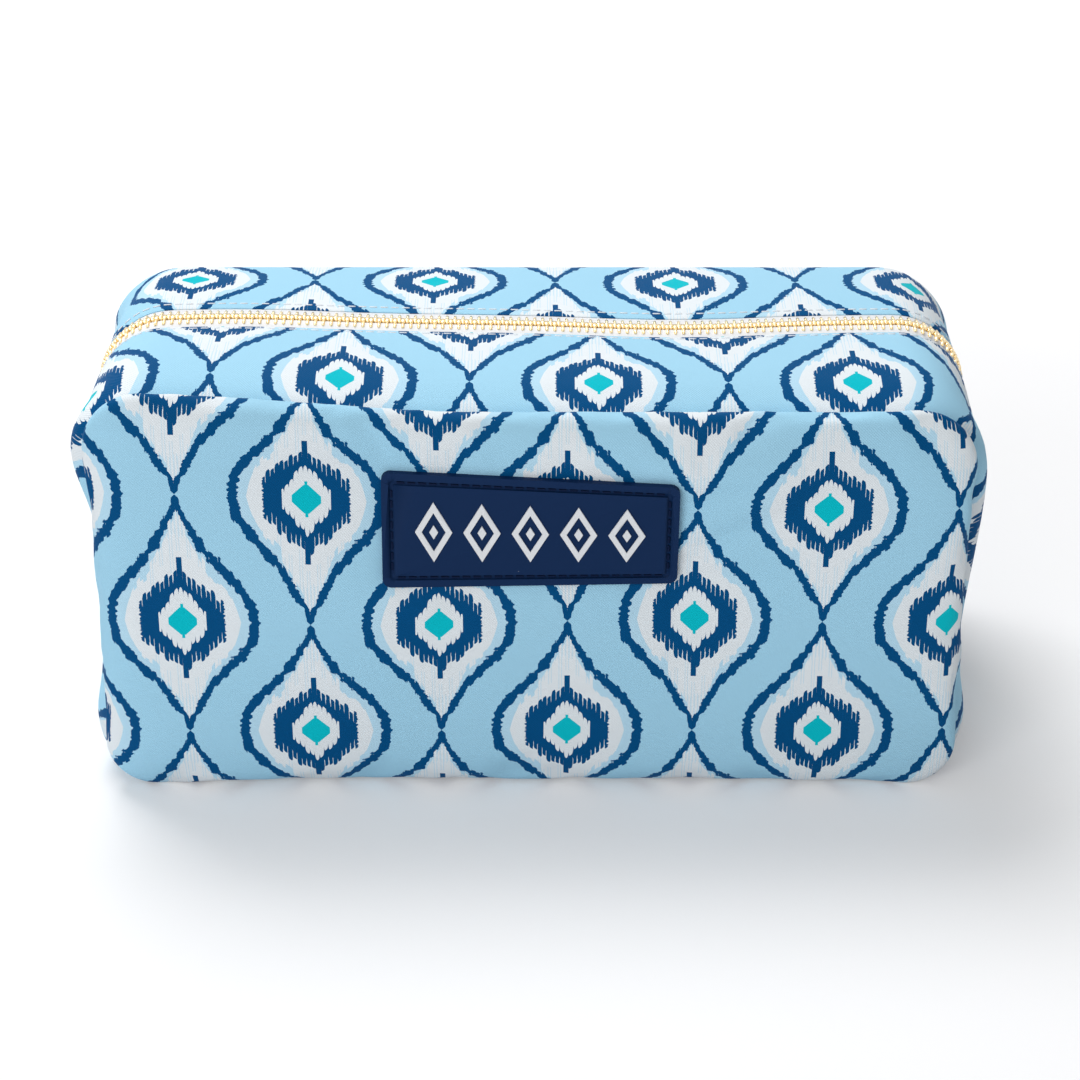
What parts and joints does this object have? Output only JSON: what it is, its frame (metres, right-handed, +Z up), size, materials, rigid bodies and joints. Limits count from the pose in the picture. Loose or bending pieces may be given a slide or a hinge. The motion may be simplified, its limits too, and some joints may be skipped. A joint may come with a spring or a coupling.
{
  "type": "zipped tile bag",
  "caption": "Padded rectangular fabric bag for mahjong tiles, with a metal zip over the top and both ends, and a sewn rubber label.",
  "frame": {"origin": "on the floor, under the middle of the bag between its end seams and between its panels", "axes": "+X along the zip towards the parked slider, -Y out of the front panel with the label, +Z up"},
  "size_m": [0.2501, 0.1169, 0.1201],
  "materials": {
    "printed_cloth": "twill with a slight sheen, printed with a blue ikat ogee pattern",
    "wadding": "soft wadding",
    "lining": "plain weave",
    "binding": "grosgrain",
    "zip_tape": "woven tape",
    "gold_metal": "polished pale gold",
    "thread": "matt",
    "label_thread": "waxed",
    "label_rubber": "satin moulded",
    "label_white": "satin moulded"
  },
  "bodies": {
    "bag": {"back_lining": "lining", "back_padding": "wadding", "back_panel": "printed_cloth", "back_seam_binding": "binding", "base_gusset": "printed_cloth", "base_lining": "lining", "base_padding": "wadding", "front_lining": "lining", "front_padding": "wadding", "front_panel": "printed_cloth", "front_seam_binding": "binding", "label_lozenges": "label_white", "label_patch": "label_rubber", "label_stitching": "label_thread", "left_back_end_strip": "printed_cloth", "left_end_lining": "lining", "left_end_padding": "wadding", "left_end_tape": "zip_tape", "left_end_teeth": "gold_metal", "left_front_end_strip": "printed_cloth", "right_back_end_strip": "printed_cloth", "right_end_lining": "lining", "right_end_padding": "wadding", "right_end_tape": "zip_tape", "right_end_teeth": "gold_metal", "right_front_end_strip": "printed_cloth", "zip_bottom_stop": "gold_metal", "zip_top_stops": "gold_metal"},
    "front_flap": {"front_zip_strip": "printed_cloth", "front_strip_padding": "wadding", "front_strip_lining": "lining", "front_zip_tape": "zip_tape", "front_zip_teeth": "gold_metal", "front_topstitching": "thread"},
    "back_flap": {"back_zip_strip": "printed_cloth", "back_strip_padding": "wadding", "back_strip_lining": "lining", "back_zip_tape": "zip_tape", "back_zip_teeth": "gold_metal", "back_topstitching": "thread"},
    "slider": {"zip_slider": "gold_metal"},
    "pull_tab": {"zip_pull_tab": "gold_metal"}
  },
  "joints": [
    {"name": "front_flap_hinge", "type": "hinge", "parent": "bag", "child": "front_flap", "pos_m": [0, -0.05, 0.11309], "axis": [1, 0, 0], "range_deg": [0, 82]},
    {"name": "back_flap_hinge", "type": "hinge", "parent": "bag", "child": "back_flap", "pos_m": [0, 0.05, 0.11309], "axis": [-1, 0, 0], "range_deg": [0, 82]},
    {"name": "slider_run", "type": "slide", "parent": "bag", "child": "slider", "axis": [0, 0, 1], "range_m": [0, 0.04], "deforming": ["right_end_teeth"]},
    {"name": "pull_tab_hinge", "type": "hinge", "parent": "slider", "child": "pull_tab", "pos_m": [0.1253, 0, 0.0512], "axis": [0, -1, 0], "range_deg": [0, 165]}
  ]
}
